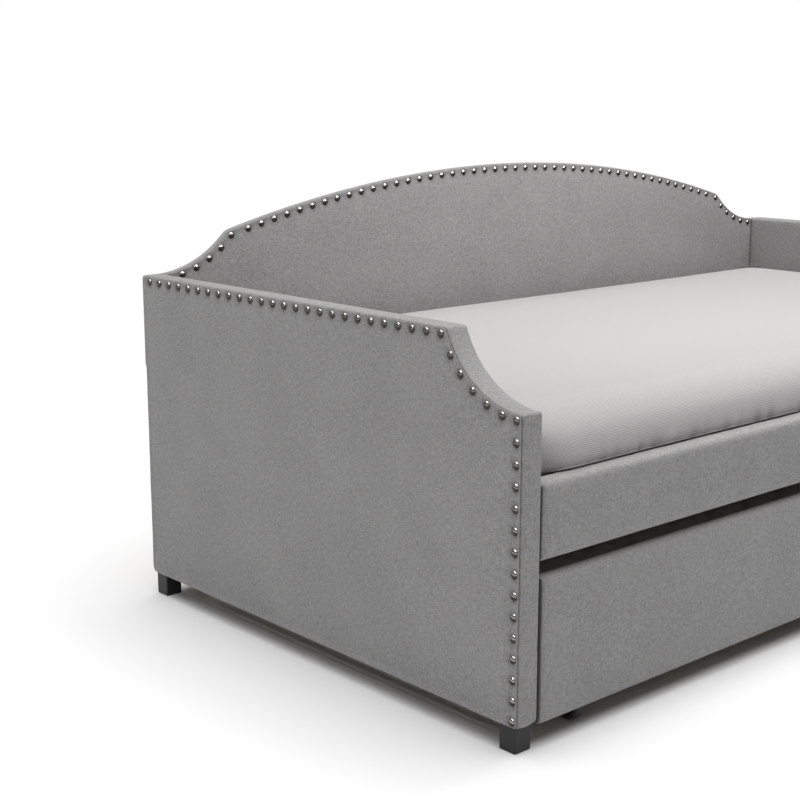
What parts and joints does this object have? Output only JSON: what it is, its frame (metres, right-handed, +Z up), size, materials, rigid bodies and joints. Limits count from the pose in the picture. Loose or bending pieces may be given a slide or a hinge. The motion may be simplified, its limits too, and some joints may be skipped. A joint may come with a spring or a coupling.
{
  "type": "trundle bed",
  "caption": "Upholstered daybed with scooped arms, an arched back, short square feet and a trundle bed that rolls out of its front on casters.",
  "frame": {"origin": "on the floor, under the middle of the bed's outer box", "axes": "+X along the bed's length to the right seen from the front, +Y towards the back panel, +Z up"},
  "size_m": [2.05, 1.0442, 0.831],
  "materials": {
    "upholstery": "heathered grey linen weave over foam",
    "sheet": "off-white sheet with fine grey lines",
    "ticking": "knitted white mattress cloth",
    "frame_wood": "plain sanded timber",
    "slat_wood": "pale sanded timber",
    "foot_black": "black satin",
    "zinc_steel": "zinc plated",
    "caster_tread": "dark grey tread"
  },
  "bodies": {
    "bedframe": {"left_arm_cover": "upholstery", "left_arm_board": "frame_wood", "right_arm_cover": "upholstery", "right_arm_board": "frame_wood", "back_cover": "upholstery", "back_board": "frame_wood", "front_rail_cover": "upholstery", "front_rail_board": "frame_wood", "back_rail": "frame_wood", "front_slat_cleat": "frame_wood", "back_slat_cleat": "frame_wood", "slat_1": "slat_wood", "slat_2": "slat_wood", "slat_3": "slat_wood", "slat_4": "slat_wood", "slat_5": "slat_wood", "slat_6": "slat_wood", "slat_7": "slat_wood", "slat_8": "slat_wood", "slat_9": "slat_wood", "slat_10": "slat_wood", "mattress": "sheet", "front_left_foot": "foot_black", "front_right_foot": "foot_black", "rear_left_foot": "foot_black", "rear_right_foot": "foot_black", "front_rail_left_bracket": "zinc_steel", "front_rail_right_bracket": "zinc_steel", "back_rail_left_bracket": "zinc_steel", "back_rail_right_bracket": "zinc_steel", "back_panel_left_bracket": "zinc_steel", "back_panel_right_bracket": "zinc_steel"},
    "trundle": {"trundle_front_cover": "upholstery", "trundle_front_board": "frame_wood", "trundle_left_side": "frame_wood", "trundle_right_side": "frame_wood", "trundle_back": "frame_wood", "trundle_front_cleat": "frame_wood", "trundle_back_cleat": "frame_wood", "trundle_slat_1": "slat_wood", "trundle_slat_2": "slat_wood", "trundle_slat_3": "slat_wood", "trundle_slat_4": "slat_wood", "trundle_slat_5": "slat_wood", "trundle_slat_6": "slat_wood", "trundle_slat_7": "slat_wood", "trundle_slat_8": "slat_wood", "trundle_mattress": "ticking", "front_left_caster_fork": "zinc_steel", "front_right_caster_fork": "zinc_steel", "back_left_caster_fork": "zinc_steel", "back_right_caster_fork": "zinc_steel", "front_left_caster_axle": "zinc_steel", "front_right_caster_axle": "zinc_steel", "back_left_caster_axle": "zinc_steel", "back_right_caster_axle": "zinc_steel"},
    "front_left_wheel": {"front_left_caster_wheel": "caster_tread"},
    "front_right_wheel": {"front_right_caster_wheel": "caster_tread"},
    "back_left_wheel": {"back_left_caster_wheel": "caster_tread"},
    "back_right_wheel": {"back_right_caster_wheel": "caster_tread"}
  },
  "joints": [
    {"name": "trundle_slide", "type": "slide", "parent": "bedframe", "child": "trundle", "axis": [0, -1, 0], "range_m": [0, 1]},
    {"name": "front_left_wheel_spin", "type": "hinge", "parent": "trundle", "child": "front_left_wheel", "pos_m": [-0.85, -0.47535, 0.025], "axis": [1, 0, 0], "range_deg": [-10, 2310]},
    {"name": "front_right_wheel_spin", "type": "hinge", "parent": "trundle", "child": "front_right_wheel", "pos_m": [0.85, -0.47535, 0.025], "axis": [1, 0, 0], "range_deg": [-10, 2310]},
    {"name": "back_left_wheel_spin", "type": "hinge", "parent": "trundle", "child": "back_left_wheel", "pos_m": [-0.85, 0.46005, 0.025], "axis": [1, 0, 0], "range_deg": [-10, 2310]},
    {"name": "back_right_wheel_spin", "type": "hinge", "parent": "trundle", "child": "back_right_wheel", "pos_m": [0.85, 0.46005, 0.025], "axis": [1, 0, 0], "range_deg": [-10, 2310]}
  ],
  "couplings": [
    {"joint": "front_left_wheel_spin", "follows": "trundle_slide", "rad_per_m": 40},
    {"joint": "front_right_wheel_spin", "follows": "trundle_slide", "rad_per_m": 40},
    {"joint": "back_left_wheel_spin", "follows": "trundle_slide", "rad_per_m": 40},
    {"joint": "back_right_wheel_spin", "follows": "trundle_slide", "rad_per_m": 40}
  ]
}
